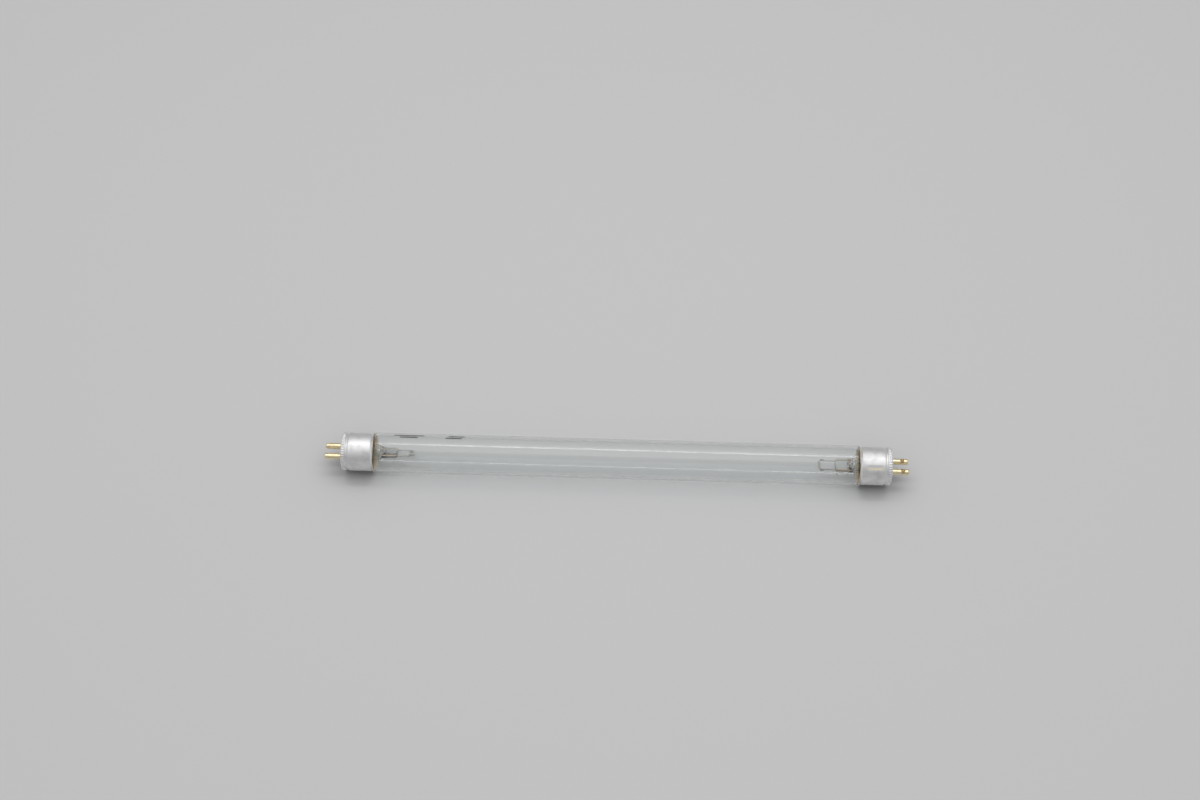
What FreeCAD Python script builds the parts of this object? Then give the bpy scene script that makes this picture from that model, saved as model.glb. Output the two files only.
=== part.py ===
"""Clear ultraviolet tube lamp with a two-pin base at each end.

Frame: origin at the middle of the lamp on its axis, X along the lamp, the pins side by side along Y, Z up.
Pieces of an end are drawn in that end's own frame: origin at the base face on the axis, X pointing into the lamp.
The right end is the left end turned half a turn about Y, except for the roll of its stem.
"""
import FreeCAD, Part
import math
import os
import Sketcher
from FreeCAD import Placement, Rotation, Vector

# Driving sizes in millimetres, degrees or counts: alias, number, meaning
SIZES = [
    ("base_span", 212.1, "outer face of one base to outer face of the other"),
    ("fit_gap", 0.02, "clearance between pieces that seat in each other"),
    ("tube_od", 15.4, "outside diameter of the glass tube"),
    ("tube_wall", 0.8, "wall of the glass tube"),
    ("neck_step", 1.4, "how far the tube's end is drawn in, on the radius"),
    ("neck_inset", 5.0, "sealed end of the neck, from the base face"),
    ("shoulder_length", 2.4, "length of the step from neck to tube"),
    ("cement_thickness", 0.75, "cement between neck and cap"),
    ("cement_inset", 5.6, "inner end of the cement, from the base face"),
    ("cap_wall", 0.3, "aluminium sheet of the cap"),
    ("cap_length", 12.2, "length of the cap"),
    ("lip_proud", 0.2, "how far the cap's lip stands out from the tube"),
    ("lip_length", 0.65, "length of the flared lip"),
    ("rim_turn_in", 1.65, "width of the rim turned in over the disc"),
    ("rim_round", 0.65, "outer radius of the rim's corner"),
    ("groove_width", 1.0, "groove behind the rim"),
    ("groove_depth", 0.35, "depth of that groove"),
    ("knurl_count", 48, "notches around the rim"),
    ("knurl_depth", 0.17, "depth of a notch"),
    ("knurl_radius", 0.3, "radius of a notch"),
    ("knurl_length", 1.4, "length of a notch, from the base face"),
    ("disc_thickness", 1.4, "insulating disc"),
    ("disc_round", 0.45, "rounded outer edge of the disc"),
    ("pin_spacing", 4.75, "between the axes of two pins"),
    ("pin_diameter", 2.35, "outside diameter of a pin"),
    ("pin_length", 7.1, "pin outside the base face"),
    ("pin_tip_round", 0.75, "rounding of the pin's tip"),
    ("rivet_proud", 0.45, "how far the rivet flange stands out from the pin"),
    ("rivet_thickness", 0.5, "thickness of the rivet flange"),
    ("dimple_depth", 0.42, "depth of the crimp dimple"),
    ("dimple_radius", 0.95, "radius of the crimping punch"),
    ("dimple_inset", 2.5, "dimple from the pin's tip"),
    ("lead_diameter", 0.5, "lead wire"),
    ("lead_spacing", 4.0, "between the axes of two lead wires in the press"),
    ("lead_clearance", 0.1, "between lead wire and stem bore"),
    ("pin_step", 0.2, "step from the pin's shoulder to its neck in the base disc"),
    ("bore_inset", 0.4, "bottom of the pin's wire bore, from the base face"),
    ("bend_reach", 1.0, "longest run of a bend in the wires, on each side of its corner"),
    ("lead_slant_start", 3.0, "first bend of the lead wire, from the base face"),
    ("lead_slant_end", 8.0, "second bend of the lead wire, from the base face"),
    ("hook_inset", 26.6, "middle of the hook, from the base face"),
    ("hook_return", 0.9, "length folded back at the hook"),
    ("stem_wall", 0.55, "wall of the stem tube and flare"),
    ("stem_roll_left", -24.0, "turn of the left stem against its pins"),
    ("stem_roll_right", 0.0, "turn of the right stem against its pins"),
    ("press_inset", 14.6, "start of the press, from the base face"),
    ("press_taper", 2.6, "length over which the stem is flattened"),
    ("press_flat", 4.2, "length of the press past its taper"),
    ("press_round", 0.95, "rounding of the end of the press"),
    ("press_cover", 0.5, "glass beside a lead wire, along the press"),
    ("press_skin", 0.95, "glass over a lead wire, through the press"),
    ("exhaust_clearance", 0.35, "between exhaust tube and lead wires"),
    ("exhaust_wall", 0.5, "wall of the exhaust tube"),
    ("exhaust_inset", 3.0, "tip of the exhaust tube, from the base face"),
    ("exhaust_port", 1.3, "diameter of the port in the side of the press"),
    ("coil_wire", 0.22, "coated electrode wire"),
    ("coil_turns", 7, "whole turns of the electrode coil; a half turn is added"),
    ("coil_margin", 0.65, "between the coil's end and a lead wire's axis"),
    ("coil_ahead", 0.9, "coil axis past the hooks, into the lamp"),
    ("coil_tail", 0.35, "electrode wire past the lead wire's axis"),
    ("bead_small", 0.55, "diameter of the mercury beads at the left end"),
    ("bead_large", 0.75, "diameter of the mercury beads at the right end"),
]

# Mercury beads: name, size, place along the lamp from the nearer base face, end
BEADS = [
    ("bead_1", "bead_small", 18.9, "left"),
    ("bead_2", "bead_small", 20.7, "left"),
    ("bead_3", "bead_small", 22.2, "left"),
    ("bead_4", "bead_large", 19.9, "right"),
    ("bead_5", "bead_large", 16.1, "right"),
]

# Sizes that follow from the driving ones
TUBE_R = "(Sizes.tube_od / 2)"
TUBE_IN = f"({TUBE_R} - Sizes.tube_wall)"
NECK_R = f"({TUBE_R} - Sizes.neck_step)"
NECK_IN = f"({NECK_R} - Sizes.tube_wall)"
CAP_IN = f"({NECK_R} + Sizes.cement_thickness)"
CAP_R = f"({CAP_IN} + Sizes.cap_wall)"
LIP_R = f"({TUBE_R} + Sizes.lip_proud)"

# The shoulder is two equal arcs that meet in the plane of the cap's lip
BEND = "((Sizes.shoulder_length ^ 2 + Sizes.neck_step ^ 2) / (4 * Sizes.neck_step))"
SHOULDER_0 = "(Sizes.cap_length - Sizes.shoulder_length / 2)"
SHOULDER_1 = "(Sizes.cap_length + Sizes.shoulder_length / 2)"
SHOULDER_R = f"({NECK_R} + Sizes.neck_step / 2)"
BEND_SINE = f"(Sizes.shoulder_length / 2 / {BEND})"
BEND_COSINE = f"(1 - Sizes.neck_step / 2 / {BEND})"

# The lip is a short cone of even sheet thickness
LIP_RISE = f"({LIP_R} - {CAP_R})"
LIP_DEPTH = f"(Sizes.cap_wall * sqrt(1 + ({LIP_RISE} / Sizes.lip_length) ^ 2))"
LIP_IN = f"({LIP_R} - {LIP_DEPTH})"
LIP_0 = "(Sizes.cap_length - Sizes.lip_length)"
LIP_IN_0 = f"({LIP_0} + ({LIP_DEPTH} - Sizes.cap_wall) * Sizes.lip_length / {LIP_RISE})"

# The disc lies under the turned-in rim and is stopped by the groove
DISC_0 = "(Sizes.cap_wall + Sizes.fit_gap)"
DISC_1 = f"({DISC_0} + Sizes.disc_thickness)"
DISC_R = f"({CAP_IN} - Sizes.fit_gap)"
GROOVE_0 = f"({DISC_1} + Sizes.fit_gap)"
GROOVE_1 = f"({GROOVE_0} + Sizes.groove_width)"
GROOVE_R = "((Sizes.groove_width ^ 2 / 4 + Sizes.groove_depth ^ 2) / (2 * Sizes.groove_depth))"

# Pins are drawn from their tip
PIN_R = "(Sizes.pin_diameter / 2)"
PIN_NECK = f"({PIN_R} - Sizes.pin_step)"
PIN_BORE = "(Sizes.lead_diameter / 2 + Sizes.fit_gap)"
PIN_SHOULDER = f"(Sizes.pin_length + {DISC_0} - Sizes.fit_gap)"
RIVET_0 = f"(Sizes.pin_length + {DISC_1} + Sizes.fit_gap)"
RIVET_1 = f"({RIVET_0} + Sizes.rivet_thickness)"

# The stem takes its bore from the lead wires, and its flare from the neck
STEM_IN = "(Sizes.lead_spacing / 2 + Sizes.lead_diameter / 2 + Sizes.lead_clearance)"
STEM_R = f"({STEM_IN} + Sizes.stem_wall)"
FLARE_R = f"({NECK_IN} - Sizes.fit_gap)"
FLARE_BEND = f"({FLARE_R} - {STEM_R})"
FLARE_0 = "(Sizes.neck_inset + Sizes.stem_wall)"
FLARE_1 = f"({FLARE_0} + {FLARE_BEND})"
PRESS_1 = "(Sizes.press_inset + Sizes.press_taper)"
PRESS_2 = f"({PRESS_1} + Sizes.press_flat)"
PRESS_SINK = "(Sizes.stem_wall / 4)"
PORT_AT = "(Sizes.press_inset + Sizes.stem_wall + Sizes.exhaust_port / 2)"
PRESS_W = "(Sizes.lead_spacing / 2 + Sizes.lead_diameter / 2 + Sizes.press_cover)"
PRESS_T = "(Sizes.lead_diameter / 2 + Sizes.press_skin)"
EXHAUST_R = "(Sizes.lead_spacing / 2 - Sizes.lead_diameter / 2 - Sizes.exhaust_clearance)"
EXHAUST_IN = f"({EXHAUST_R} - Sizes.exhaust_wall)"

# The hook folds round the electrode wire, and the coil has the same radius as the fold
FOLD = "(Sizes.lead_diameter / 2 + Sizes.coil_wire / 2 + Sizes.fit_gap)"
COIL_SIDES = 10
MITRED = 1
STRAIGHT = 1e-4
AHEAD = Vector(1, 0, 0)

ENDS = ("left", "right")
ROWS = (("front", -1), ("rear", 1))

doc = FreeCAD.newDocument("uv_tube_lamp")
sheet = doc.addObject("Spreadsheet::Sheet", "Sizes")
for row, (alias, number, meaning) in enumerate(SIZES, start=1):
    sheet.set(f"A{row}", meaning)
    sheet.set(f"B{row}", str(number))
    sheet.setAlias(f"B{row}", alias)
doc.recompute()
nodes = []


def size(expression):
    """The number that an expression of the sheet gives."""
    return float(sheet.evalExpression(expression))


def keep(feature, label):
    """Labels a finished sub-part and lists it for export."""
    feature.Label = label
    nodes.append(feature)
    return feature


def new_body(label):
    return keep(doc.addObject("PartDesign::Body", label), label)


def new_sketch(body, name, role):
    """A sketch on one of the body's own planes."""
    sketch = body.newObject("Sketcher::SketchObject", name)
    plane = next(item for item in body.Origin.OriginFeatures if item.Role == role)
    sketch.AttachmentSupport = [(plane, "")]
    sketch.MapMode = "FlatFace"
    return sketch


def bind(sketch, name, constraint, expression):
    """Adds a constraint to a sketch and ties its value to the sheet."""
    index = sketch.addConstraint(constraint)
    sketch.renameConstraint(index, name)
    sketch.setExpression(f"Constraints.{name}", expression)


def pin_point(sketch, name, edge, end, along, out):
    """Ties one point of a sketch to two expressions; nought means on the axis."""
    if along == "0":
        sketch.addConstraint(Sketcher.Constraint("PointOnObject", edge, end, -2))
    else:
        bind(sketch, f"{name}_x", Sketcher.Constraint("DistanceX", edge, end, size(along)), along)
    if out == "0":
        sketch.addConstraint(Sketcher.Constraint("PointOnObject", edge, end, -1))
    else:
        bind(sketch, f"{name}_y", Sketcher.Constraint("DistanceY", edge, end, size(out)), out)


def draw_outline(sketch, corners):
    """Draws a closed outline through corners given as (along, out) or (along, out, radius, side).

    With a radius, an arc leads to the corner: side 1 has its centre on the left of the way there, -1 on the right.
    """
    ends = []
    for place, corner in enumerate(corners):
        before = corners[place - 1]
        start = Vector(size(before[0]), size(before[1]), 0)
        stop = Vector(size(corner[0]), size(corner[1]), 0)
        if len(corner) == 2:
            edge = sketch.addGeometry(Part.LineSegment(start, stop))
            ends.append((edge, 1, 2))
            continue
        radius, side = size(corner[2]), corner[3]
        chord = stop - start
        height = math.sqrt(max(radius ** 2 - (chord.Length / 2) ** 2, 0))
        left = Vector(-chord.y, chord.x, 0).normalize()
        centre = (start + stop) * 0.5 + left * (side * height)
        first, last = (start, stop) if side > 0 else (stop, start)
        angles = [math.atan2(point.y - centre.y, point.x - centre.x) for point in (first, last)]
        circle = Part.Circle(centre, Vector(0, 0, 1), radius)
        edge = sketch.addGeometry(Part.ArcOfCircle(circle, angles[0], angles[1]))
        ends.append((edge, 1, 2) if side > 0 else (edge, 2, 1))
        bind(sketch, f"radius_{place}", Sketcher.Constraint("Radius", edge, radius), corner[2])
    for place, corner in enumerate(corners):
        edge, _, tail = ends[place]
        following, head, _ = ends[(place + 1) % len(ends)]
        sketch.addConstraint(Sketcher.Constraint("Coincident", edge, tail, following, head))
        pin_point(sketch, f"corner_{place}", edge, tail, corner[0], corner[1])


def revolve(body, name, corners):
    """A full turn of an outline about the body's X axis."""
    sketch = new_sketch(body, f"{name}_outline", "XZ_Plane")
    draw_outline(sketch, corners)
    turned = body.newObject("PartDesign::Revolution", name)
    turned.Profile = sketch
    turned.ReferenceAxis = (sketch, ["H_Axis"])
    turned.Angle = 360
    return turned


def draw_circle(sketch, name, across, up, radius):
    """A circle in a sketch, with its centre and radius tied to the sheet."""
    sign = -1 if across.startswith("-") else 1
    middle = Vector(size(across), size(up), 0)
    edge = sketch.addGeometry(Part.Circle(middle, Vector(0, 0, 1), size(radius)))
    if across == "0":
        sketch.addConstraint(Sketcher.Constraint("PointOnObject", edge, 3, -2))
    elif sign > 0:
        bind(sketch, f"{name}_x", Sketcher.Constraint("DistanceX", -1, 1, edge, 3, size(across)), across)
    else:
        away = across[1:]
        bind(sketch, f"{name}_x", Sketcher.Constraint("DistanceX", edge, 3, -1, 1, size(away)), away)
    if up == "0":
        sketch.addConstraint(Sketcher.Constraint("PointOnObject", edge, 3, -1))
    else:
        bind(sketch, f"{name}_y", Sketcher.Constraint("DistanceY", -1, 1, edge, 3, size(up)), up)
    bind(sketch, f"{name}_r", Sketcher.Constraint("Radius", edge, size(radius)), radius)


def pocket(body, name, sketch, length=None):
    """Cuts a sketch inwards along X, through everything unless a length is given."""
    cut = body.newObject("PartDesign::Pocket", name)
    cut.Profile = sketch
    cut.Reversed = True
    if length is None:
        cut.Type = "ThroughAll"
    else:
        cut.setExpression("Length", length)
    return cut


def seat(feature, end, roll=0.0, inset="0", across="0"):
    """Places a piece that is drawn in an end's own frame, from the base face inwards, at that end."""
    turn = Rotation(Vector(1, 0, 0), roll)
    if end == "right":
        turn = Rotation(Vector(0, 1, 0), 180) * turn
    feature.Placement = Placement(Vector(), turn)
    outward = "-" if end == "left" else ""
    feature.setExpression("Placement.Base.x", f"{outward}(Sizes.base_span / 2 - {inset})")
    if across != "0":
        feature.setExpression("Placement.Base.y", across)


# Glass tube, drawn from the left base face
def far(along):
    """The same place seen from the right base face."""
    return f"(Sizes.base_span - {along})"


seal = "(Sizes.tube_wall / 2)"
wide_bend = f"({BEND} + Sizes.tube_wall)"
tight_bend = f"({BEND} - Sizes.tube_wall)"
inner_turn = f"({SHOULDER_0} + {wide_bend} * {BEND_SINE})"
inner_turn_r = f"({NECK_R} + {BEND} - {wide_bend} * {BEND_COSINE})"
seal_1 = f"(Sizes.neck_inset + {seal})"
glass_tube = new_body("glass_tube")
revolve(glass_tube, "glass_tube_turn", [
    ("Sizes.neck_inset", NECK_IN),
    ("Sizes.neck_inset", f"({NECK_R} - {seal})"),
    (seal_1, NECK_R, seal, -1),
    (SHOULDER_0, NECK_R),
    ("Sizes.cap_length", SHOULDER_R, BEND, 1),
    (SHOULDER_1, TUBE_R, BEND, -1),
    (far(SHOULDER_1), TUBE_R),
    (far("Sizes.cap_length"), SHOULDER_R, BEND, -1),
    (far(SHOULDER_0), NECK_R, BEND, 1),
    (far(seal_1), NECK_R),
    (far("Sizes.neck_inset"), f"({NECK_R} - {seal})", seal, -1),
    (far("Sizes.neck_inset"), NECK_IN),
    (far(SHOULDER_0), NECK_IN),
    (far(inner_turn), inner_turn_r, wide_bend, -1),
    (far(SHOULDER_1), TUBE_IN, tight_bend, 1),
    (SHOULDER_1, TUBE_IN),
    (inner_turn, inner_turn_r, tight_bend, 1),
    (SHOULDER_0, NECK_IN, wide_bend, -1),
])
seat(glass_tube, "left")


def make_cap(end):
    """Drawn aluminium shell with a flared lip, a groove and a knurled, turned-in rim."""
    cap = new_body(f"end_cap_{end}")
    hole = f"({CAP_R} - Sizes.rim_turn_in)"
    corner = f"({CAP_R} - Sizes.rim_round)"
    revolve(cap, f"{cap.Name}_turn", [
        ("0", hole),
        ("0", corner),
        ("Sizes.rim_round", CAP_R, "Sizes.rim_round", -1),
        (GROOVE_0, CAP_R),
        (GROOVE_1, CAP_R, GROOVE_R, 1),
        (LIP_0, CAP_R),
        ("Sizes.cap_length", LIP_R),
        ("Sizes.cap_length", LIP_IN),
        (LIP_IN_0, CAP_IN),
        (GROOVE_1, CAP_IN),
        (GROOVE_0, CAP_IN, GROOVE_R, -1),
        ("Sizes.rim_round", CAP_IN),
        ("Sizes.cap_wall", corner, "(Sizes.rim_round - Sizes.cap_wall)", 1),
        ("Sizes.cap_wall", hole),
    ])
    notch = new_sketch(cap, f"{cap.Name}_notch_outline", "YZ_Plane")
    draw_circle(notch, "notch", "0", f"({CAP_R} + Sizes.knurl_radius - Sizes.knurl_depth)", "Sizes.knurl_radius")
    cut = pocket(cap, f"{cap.Name}_notch", notch, "Sizes.knurl_length")
    ring = cap.newObject("PartDesign::PolarPattern", f"{cap.Name}_knurl")
    ring.Originals = [cut]
    ring.Axis = (next(item for item in cap.Origin.OriginFeatures if item.Role == "X_Axis"), [""])
    ring.Angle = 360
    ring.setExpression("Occurrences", "Sizes.knurl_count")
    cap.Tip = ring
    seat(cap, end)


def make_disc(end):
    """Insulating disc with two pin holes, held under the cap's rim."""
    disc = new_body(f"base_disc_{end}")
    revolve(disc, f"{disc.Name}_turn", [
        (DISC_0, "0"),
        (DISC_0, f"({DISC_R} - Sizes.disc_round)"),
        (f"({DISC_0} + Sizes.disc_round)", DISC_R, "Sizes.disc_round", -1),
        (DISC_1, DISC_R),
        (DISC_1, "0"),
    ])
    holes = new_sketch(disc, f"{disc.Name}_holes", "YZ_Plane")
    hole = f"({PIN_NECK} + Sizes.fit_gap)"
    draw_circle(holes, "front", "-(Sizes.pin_spacing / 2)", "0", hole)
    draw_circle(holes, "rear", "(Sizes.pin_spacing / 2)", "0", hole)
    pocket(disc, f"{disc.Name}_drill", holes)
    seat(disc, end)


def make_pin(end, row, side):
    """Brass pin with a wire bore and rivet flange behind the disc, and a crimp dimple near its tip."""
    pin = new_body(f"contact_pin_{end}_{row}")
    flange = f"({PIN_R} + Sizes.rivet_proud)"
    revolve(pin, f"{pin.Name}_turn", [
        ("0", "0"),
        ("0", f"({PIN_R} - Sizes.pin_tip_round)"),
        ("Sizes.pin_tip_round", PIN_R, "Sizes.pin_tip_round", -1),
        (PIN_SHOULDER, PIN_R),
        (PIN_SHOULDER, PIN_NECK),
        (RIVET_0, PIN_NECK),
        (RIVET_0, flange),
        (RIVET_1, flange),
        (RIVET_1, PIN_BORE),
        ("(Sizes.pin_length + Sizes.bore_inset)", PIN_BORE),
        ("(Sizes.pin_length + Sizes.bore_inset)", "0"),
    ])
    dimple = pin.newObject("PartDesign::SubtractiveSphere", f"{pin.Name}_dimple")
    dimple.setExpression("Radius", "Sizes.dimple_radius")
    dimple.setExpression("Placement.Base.x", "Sizes.dimple_inset")
    dimple.setExpression("Placement.Base.z", f"-({PIN_R} + Sizes.dimple_radius - Sizes.dimple_depth)")
    seat(pin, end, inset="(-Sizes.pin_length)", across=f"{side} * Sizes.pin_spacing / 2")


def make_cement(end):
    """Cement ring that fills the space between neck, shoulder, cap and lip."""
    cement = new_body(f"basing_cement_{end}")
    inner = f"({NECK_R} + Sizes.fit_gap)"
    outer = f"({CAP_IN} - Sizes.fit_gap)"
    bend = f"({BEND} - Sizes.fit_gap)"
    mouth = f"({SHOULDER_0} + {bend} * {BEND_SINE})"
    mouth_r = f"({NECK_R} + {BEND} - {bend} * {BEND_COSINE})"
    revolve(cement, f"{cement.Name}_turn", [
        ("Sizes.cement_inset", inner),
        ("Sizes.cement_inset", outer),
        (LIP_IN_0, outer),
        ("(Sizes.cap_length - Sizes.fit_gap)", f"({LIP_IN} - 2 * Sizes.fit_gap)"),
        (mouth, mouth_r),
        (SHOULDER_0, inner, bend, -1),
    ])
    seat(cement, end)


def make_exhaust_tube(end, roll):
    """Glass tube with a closed, rounded tip that stands in the stem against the press."""
    tube = new_body(f"exhaust_tube_{end}")
    round_1 = f"(Sizes.exhaust_inset + {EXHAUST_R})"
    foot = "(Sizes.press_inset - Sizes.fit_gap)"
    revolve(tube, f"{tube.Name}_turn", [
        ("Sizes.exhaust_inset", "0"),
        (round_1, EXHAUST_R, EXHAUST_R, -1),
        (foot, EXHAUST_R),
        (foot, EXHAUST_IN),
        (round_1, EXHAUST_IN),
        ("(Sizes.exhaust_inset + Sizes.exhaust_wall)", "0", EXHAUST_IN, 1),
    ])
    seat(tube, end, roll)


def draw_slot(sketch, half_width, half_height):
    """A slot outline round the sketch's origin, with full round ends."""
    radius = size(half_height)
    reach = size(half_width) - radius
    up = Vector(0, 0, 1)
    right_round = Part.ArcOfCircle(Part.Circle(Vector(reach, 0, 0), up, radius), -math.pi / 2, math.pi / 2)
    left_round = Part.ArcOfCircle(Part.Circle(Vector(-reach, 0, 0), up, radius), math.pi / 2, 3 * math.pi / 2)
    right = sketch.addGeometry(right_round)
    top = sketch.addGeometry(Part.LineSegment(Vector(reach, radius, 0), Vector(-reach, radius, 0)))
    left = sketch.addGeometry(left_round)
    bottom = sketch.addGeometry(Part.LineSegment(Vector(-reach, -radius, 0), Vector(reach, -radius, 0)))
    for edge, following in ((right, top), (top, left), (left, bottom), (bottom, right)):
        sketch.addConstraint(Sketcher.Constraint("Tangent", edge, 2, following, 1))
    sketch.addConstraint(Sketcher.Constraint("Symmetric", right, 3, left, 3, -1, 1))
    sketch.addConstraint(Sketcher.Constraint("Horizontal", top))
    sketch.addConstraint(Sketcher.Constraint("Equal", right, left))
    bind(sketch, "round", Sketcher.Constraint("Radius", right, radius), half_height)
    across = f"2 * ({half_width} - {half_height})"
    bind(sketch, "across", Sketcher.Constraint("DistanceX", left, 3, right, 3, 2 * reach), across)


def make_stem(end, roll):
    """Flare, stem tube and flattened press in one piece of glass."""
    stem = new_body(f"stem_{end}")
    revolve(stem, f"{stem.Name}_turn", [
        (FLARE_0, FLARE_R),
        (FLARE_1, STEM_R, FLARE_BEND, 1),
        ("Sizes.press_inset", STEM_R),
        (PRESS_1, f"(0.8 * {PRESS_T})"),
        (PRESS_1, "0"),
        ("Sizes.press_inset", "0"),
        ("Sizes.press_inset", STEM_IN),
        (FLARE_1, STEM_IN),
        ("Sizes.neck_inset", FLARE_R, f"({FLARE_BEND} + Sizes.stem_wall)", -1),
    ])
    flat = new_sketch(stem, f"{stem.Name}_flat_outline", "YZ_Plane")
    flat.setExpression("AttachmentOffset.Base.z", f"Sizes.press_inset + {PRESS_SINK}")
    draw_slot(flat, PRESS_W, PRESS_T)
    press = stem.newObject("PartDesign::Pad", f"{stem.Name}_flat")
    press.Profile = flat
    press.setExpression("Length", f"Sizes.press_taper + Sizes.press_flat - {PRESS_SINK}")
    doc.recompute()
    tip = [
        f"Edge{number}" for number, edge in enumerate(press.Shape.Edges, start=1)
        if edge.BoundBox.XMin > size(PRESS_2) - STRAIGHT
    ]
    dome = stem.newObject("PartDesign::Fillet", f"{stem.Name}_dome")
    dome.Base = (press, tip)
    dome.setExpression("Radius", "Sizes.press_round")
    wires = new_sketch(stem, f"{stem.Name}_wires", "YZ_Plane")
    bore = "(Sizes.lead_diameter / 2 + Sizes.fit_gap)"
    draw_circle(wires, "front", "-(Sizes.lead_spacing / 2)", "0", bore)
    draw_circle(wires, "rear", "(Sizes.lead_spacing / 2)", "0", bore)
    pocket(stem, f"{stem.Name}_wire_seats", wires)
    duct = new_sketch(stem, f"{stem.Name}_duct_outline", "YZ_Plane")
    draw_circle(duct, "duct", "0", "0", EXHAUST_IN)
    pocket(stem, f"{stem.Name}_duct", duct, PORT_AT)
    port = stem.newObject("PartDesign::SubtractiveCylinder", f"{stem.Name}_port")
    port.setExpression("Radius", "Sizes.exhaust_port / 2")
    port.setExpression("Height", STEM_R)
    port.setExpression("Placement.Base.x", PORT_AT)
    seat(stem, end, roll)


def smooth_path(points, most):
    """A path through the points with every corner turned into a tangent arc.

    An arc reaches half way to the nearer neighbour, and never further than most.
    """
    edges = []
    start = points[0]
    for before, corner, after in zip(points, points[1:], points[2:]):
        way_in, way_out = corner - before, after - corner
        reach = min(way_in.Length / 2, way_out.Length / 2, most)
        way_in.normalize()
        way_out.normalize()
        half_turn = way_in.getAngle(way_out) / 2
        if half_turn < STRAIGHT:
            continue
        radius = reach / math.tan(half_turn)
        inward = (way_out - way_in).normalize()
        middle = corner + inward * (radius / math.cos(half_turn) - radius)
        arc_start, arc_stop = corner - way_in * reach, corner + way_out * reach
        if (arc_start - start).Length > STRAIGHT:
            edges.append(Part.LineSegment(start, arc_start).toShape())
        edges.append(Part.Arc(arc_start, middle, arc_stop).toShape())
        start = arc_stop
    edges.append(Part.LineSegment(start, points[-1]).toShape())
    return Part.Wire(edges)


def make_wire(label, end, spine, points, diameter):
    """Round wire along a path in space, which no sketch holds; sharp corners are mitred."""
    ring = Part.Wire(Part.makeCircle(size(diameter) / 2, points[0], points[1] - points[0]))
    wire = doc.addObject("Part::Feature", label)
    wire.Shape = spine.makePipeShell([ring], True, False, MITRED)
    keep(wire, label)
    seat(wire, end)


def lead_line(roll):
    """Unit vectors along the line through the two lead wires, and across it."""
    angle = math.radians(roll)
    along = Vector(0, math.cos(angle), math.sin(angle))
    across = Vector(0, -math.sin(angle), math.cos(angle))
    return along, across


def make_lead(end, row, side, roll):
    """Lead wire from the pin's bore through the press to a hook folded over the electrode wire."""
    along, across = lead_line(roll)
    at_pin = Vector(0, side * size("Sizes.pin_spacing / 2"), 0)
    at_stem = along * (side * size("Sizes.lead_spacing / 2"))
    over = across * (-side * 2 * size(FOLD))
    fold_end = size(f"Sizes.hook_inset + {FOLD}")
    points = [
        at_pin + AHEAD * size("Sizes.bore_inset + Sizes.fit_gap"),
        at_pin + AHEAD * size("Sizes.lead_slant_start"),
        at_stem + AHEAD * size("Sizes.lead_slant_end"),
        at_stem + AHEAD * fold_end,
        at_stem + over + AHEAD * fold_end,
        at_stem + over + AHEAD * size("Sizes.hook_inset - Sizes.hook_return"),
    ]
    spine = smooth_path(points, size("Sizes.bend_reach"))
    make_wire(f"lead_wire_{end}_{row}", end, spine, points, "Sizes.lead_diameter")


def make_coil(end, roll):
    """Electrode wire: a tail in each hook, a leg up from it, and a coil of whole turns and a half between the legs."""
    along, across = lead_line(roll)
    fold = size(FOLD)
    turns = size("Sizes.coil_turns") + 0.5
    length = size("Sizes.lead_spacing - 2 * Sizes.coil_margin")
    reach = size("Sizes.lead_spacing / 2 + Sizes.coil_tail")
    lift = size("Sizes.coil_ahead")
    hooks = AHEAD * size("Sizes.hook_inset")
    step = 2 * math.pi / COIL_SIDES
    spread = fold / math.cos(step / 2)
    lean = length / turns / COIL_SIDES / (2 * spread * math.sin(step / 2))
    foot = along * (length / 2 + lift * lean)
    points = [hooks - along * reach + across * fold, hooks - foot + across * fold]
    for corner in range(int(turns * COIL_SIDES)):
        angle = step * (corner + 0.5)
        place = length * ((corner + 0.5) / (turns * COIL_SIDES) - 0.5)
        swing = across * (spread * math.cos(angle)) + AHEAD * (spread * math.sin(angle))
        points.append(hooks + AHEAD * lift + along * place + swing)
    points += [hooks + foot - across * fold, hooks + along * reach - across * fold]
    make_wire(f"electrode_coil_{end}", end, Part.makePolygon(points), points, "Sizes.coil_wire")


for end in ENDS:
    roll = size(f"Sizes.stem_roll_{end}")
    make_cap(end)
    make_disc(end)
    make_cement(end)
    make_stem(end, roll)
    make_exhaust_tube(end, roll)
    for row, side in ROWS:
        make_pin(end, row, side)
        make_lead(end, row, side, roll)
    make_coil(end, roll)

# Mercury beads rest on the lowest line of the tube's bore
beads = []
for name, alias, inset, end in BEADS:
    bead = doc.addObject("Part::Sphere", name)
    bead.setExpression("Radius", f"Sizes.{alias} / 2")
    sign = "-" if end == "left" else ""
    bead.setExpression("Placement.Base.x", f"{sign}(Sizes.base_span / 2 - {inset})")
    bead.setExpression("Placement.Base.z", f"-({TUBE_IN} - Sizes.{alias} / 2 - Sizes.fit_gap)")
    beads.append(bead)
droplets = doc.addObject("Part::Compound", "mercury_droplets")
droplets.Links = beads
keep(droplets, "mercury_droplets")

doc.recompute()
for item in doc.Objects:
    if "Invalid" in item.State or "Error" in item.State:
        raise RuntimeError(f"{item.Name} did not recompute: {item.State}")
os.makedirs("parts", exist_ok=True)
for node in nodes:
    if node.Shape.isNull() or not node.Shape.isValid():
        raise RuntimeError(f"{node.Label} has no valid shape")
    node.Shape.exportStep(f"parts/{node.Label}.step")
    print(f"{node.Label}: {node.Shape.Volume:.3f} mm3, {len(node.Shape.Solids)} solid(s)")
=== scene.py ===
# %% [markdown]
# A straight ultraviolet tube lamp lies on a pale table. It is a clear glass tube with a drawn aluminium
# cap on each end, two brass pins in each cap, and inside each end a glass stem that carries two wires and
# a small coil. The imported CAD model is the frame: every piece here goes exactly where the CAD says, in
# metres.

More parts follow.
